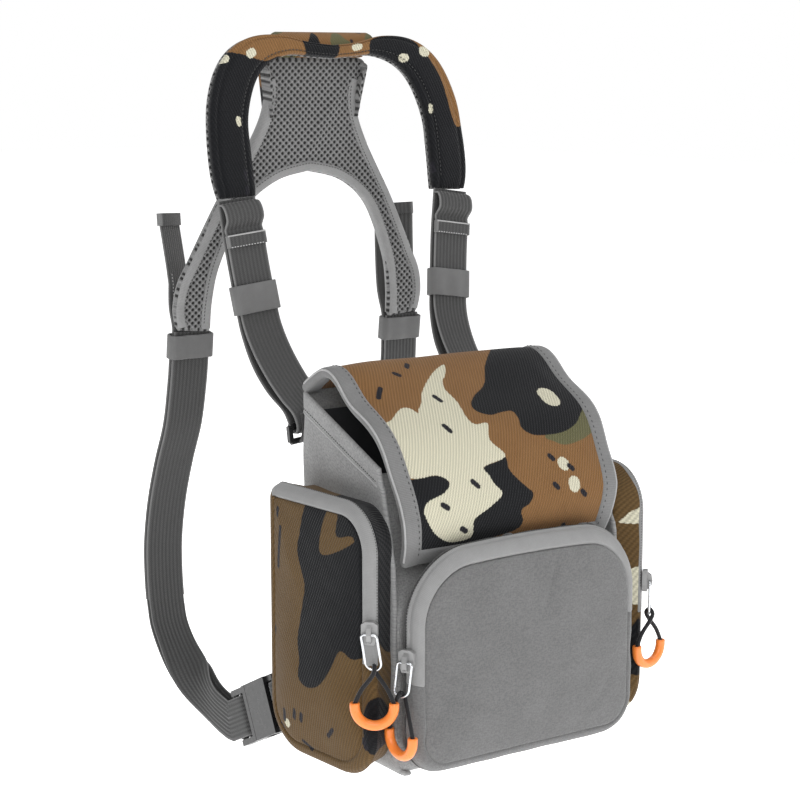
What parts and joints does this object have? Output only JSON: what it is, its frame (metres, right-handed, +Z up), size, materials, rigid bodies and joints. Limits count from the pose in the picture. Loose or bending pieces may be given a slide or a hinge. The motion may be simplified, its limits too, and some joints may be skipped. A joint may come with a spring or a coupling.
{
  "type": "binocular harness pack",
  "caption": "Padded chest pouch for binoculars with a domed tuck-in lid, zip pockets on its front and sides, shoulder pads, a mesh yoke, webbing straps and side-release buckles.",
  "frame": {"origin": "under the middle of the neck band, where it rests on the back of the wearer's neck", "axes": "+Z up, -Y away from the wearer towards the front pocket, +X to the right as seen from the front, which is the wearer's left"},
  "size_m": [0.2213, 0.2847, 0.4277],
  "materials": {
    "grey_fabric": "heathered woven polyester over foam",
    "camo_fabric": "coarse woven, blotched brown, black, cream and olive",
    "lining": "smooth dark nylon",
    "binding": "folded woven tape",
    "zip_tape": "coated zip tape",
    "webbing": "ribbed webbing",
    "elastic": "smooth elastic tape",
    "air_mesh": "spacer mesh with round holes",
    "slider_metal": "grey painted die casting",
    "wire_steel": "bright plated wire",
    "cord": "braided cord",
    "rubber_grip": "glossy moulded tube",
    "black_plastic": "glossy acetal",
    "board": "matte"
  },
  "bodies": {
    "pack": {"pouch_shell": "grey_fabric", "pouch_lining": "lining", "base_board": "board", "back_pad": "air_mesh", "hinge_flap": "camo_fabric", "front_gusset": "grey_fabric", "front_lower_band": "grey_fabric", "front_zip_tape": "zip_tape", "front_panel": "grey_fabric", "left_gusset": "camo_fabric", "left_zip_tape": "zip_tape", "left_panel": "camo_fabric", "right_gusset": "camo_fabric", "right_zip_tape": "zip_tape", "right_panel": "camo_fabric", "shoulder_pads": "camo_fabric", "shoulder_mesh": "air_mesh", "yoke_mesh": "air_mesh", "yoke_cover": "camo_fabric", "yoke_binding": "binding", "top_tabs": "webbing", "top_rings": "black_plastic", "side_tabs": "webbing", "left_front_strap": "webbing", "right_front_strap": "webbing", "left_rear_strap": "webbing", "right_rear_strap": "webbing", "left_socket": "black_plastic", "right_socket": "black_plastic"},
    "lid": {"lid": "camo_fabric", "lid_binding": "binding"},
    "front_slider": {"front_slider": "slider_metal"},
    "front_pull_wire": {"front_pull_wire": "wire_steel"},
    "front_pull": {"front_pull_cord": "cord", "front_pull_grip": "rubber_grip"},
    "left_slider": {"left_slider": "slider_metal"},
    "left_pull_wire": {"left_pull_wire": "wire_steel"},
    "left_pull": {"left_pull_cord": "cord", "left_pull_grip": "rubber_grip"},
    "right_slider": {"right_slider": "slider_metal"},
    "right_pull_wire": {"right_pull_wire": "wire_steel"},
    "right_pull": {"right_pull_cord": "cord", "right_pull_grip": "rubber_grip"},
    "right_front_keeper": {"right_front_keeper": "elastic"},
    "right_rear_keeper": {"right_rear_keeper": "elastic"},
    "left_front_keeper": {"left_front_keeper": "elastic"},
    "left_rear_keeper": {"left_rear_keeper": "elastic"},
    "left_plug": {"left_plug": "black_plastic", "left_strap_loop": "webbing"},
    "left_upper_prong": {"left_upper_prong": "black_plastic"},
    "left_lower_prong": {"left_lower_prong": "black_plastic"},
    "right_plug": {"right_plug": "black_plastic", "right_strap_loop": "webbing"},
    "right_upper_prong": {"right_upper_prong": "black_plastic"},
    "right_lower_prong": {"right_lower_prong": "black_plastic"}
  },
  "joints": [
    {"name": "lid_hinge", "type": "hinge", "parent": "pack", "child": "lid", "pos_m": [0, -0.095, -0.185], "axis": [-1, 0, 0], "range_deg": [0, 110]},
    {"name": "front_zip", "type": "slide", "parent": "pack", "child": "front_slider", "axis": [0, 0, 1], "range_m": [0, 0.02]},
    {"name": "front_wire_swing", "type": "hinge", "parent": "front_slider", "child": "front_pull_wire", "pos_m": [-0.08141, -0.2068, -0.318], "axis": [-0.5, 0.866, 0], "range_deg": [0, 7]},
    {"name": "front_grip_swing", "type": "hinge", "parent": "front_pull_wire", "child": "front_pull", "pos_m": [-0.08141, -0.2068, -0.337], "axis": [-0.0349, 0.9994, 0], "range_deg": [0, 10]},
    {"name": "left_zip", "type": "slide", "parent": "pack", "child": "left_slider", "axis": [0, 0, 1], "range_m": [0, 0.02]},
    {"name": "left_wire_swing", "type": "hinge", "parent": "left_slider", "child": "left_pull_wire", "pos_m": [-0.09846, -0.19807, -0.302], "axis": [-0.7193, 0.6947, 0], "range_deg": [0, 110]},
    {"name": "left_grip_swing", "type": "hinge", "parent": "left_pull_wire", "child": "left_pull", "pos_m": [-0.09846, -0.19807, -0.321], "axis": [-0.809, 0.5878, 0], "range_deg": [0, 60]},
    {"name": "right_zip", "type": "slide", "parent": "pack", "child": "right_slider", "axis": [0, 0, 1], "range_m": [0, 0.02]},
    {"name": "right_wire_swing", "type": "hinge", "parent": "right_slider", "child": "right_pull_wire", "pos_m": [0.09846, -0.19807, -0.302], "axis": [-0.7193, -0.6947, 0], "range_deg": [0, 110]},
    {"name": "right_grip_swing", "type": "hinge", "parent": "right_pull_wire", "child": "right_pull", "pos_m": [0.09846, -0.19807, -0.321], "axis": [-0.9903, -0.1392, 0], "range_deg": [0, 25]},
    {"name": "right_front_keeper_slide", "type": "slide", "parent": "pack", "child": "right_front_keeper", "axis": [0.1369, 0.1805, 0.974], "range_m": [-0.008, 0.008]},
    {"name": "right_rear_keeper_slide", "type": "slide", "parent": "pack", "child": "right_rear_keeper", "axis": [0, -0.1184, 0.993], "range_m": [-0.006, 0.001]},
    {"name": "left_front_keeper_slide", "type": "slide", "parent": "pack", "child": "left_front_keeper", "axis": [-0.1028, 0.1805, 0.9782], "range_m": [-0.008, 0.008]},
    {"name": "left_rear_keeper_slide", "type": "slide", "parent": "pack", "child": "left_rear_keeper", "axis": [0, -0.1184, 0.993], "range_m": [-0.006, 0.001]},
    {"name": "left_buckle_release", "type": "slide", "parent": "pack", "child": "left_plug", "axis": [0, 0.8942, -0.4478], "range_m": [0, 0.02]},
    {"name": "left_upper_prong_flex", "type": "hinge", "parent": "left_plug", "child": "left_upper_prong", "pos_m": [-0.082, -0.04741, -0.37707], "axis": [1, 0, 0], "range_deg": [0, 18.1]},
    {"name": "left_lower_prong_flex", "type": "hinge", "parent": "left_plug", "child": "left_lower_prong", "pos_m": [-0.082, -0.05762, -0.39745], "axis": [-1, 0, 0], "range_deg": [0, 18.1]},
    {"name": "right_buckle_release", "type": "slide", "parent": "pack", "child": "right_plug", "axis": [0, 0.8942, -0.4478], "range_m": [0, 0.02]},
    {"name": "right_upper_prong_flex", "type": "hinge", "parent": "right_plug", "child": "right_upper_prong", "pos_m": [0.082, -0.04741, -0.37707], "axis": [1, 0, 0], "range_deg": [0, 18.1]},
    {"name": "right_lower_prong_flex", "type": "hinge", "parent": "right_plug", "child": "right_lower_prong", "pos_m": [0.082, -0.05762, -0.39745], "axis": [-1, 0, 0], "range_deg": [0, 18.1]}
  ],
  "couplings": [
    {"joint": "left_upper_prong_flex", "follows": "left_buckle_release", "rad_per_m": 15.7},
    {"joint": "left_lower_prong_flex", "follows": "left_buckle_release", "rad_per_m": 15.7},
    {"joint": "right_upper_prong_flex", "follows": "right_buckle_release", "rad_per_m": 15.7},
    {"joint": "right_lower_prong_flex", "follows": "right_buckle_release", "rad_per_m": 15.7}
  ]
}
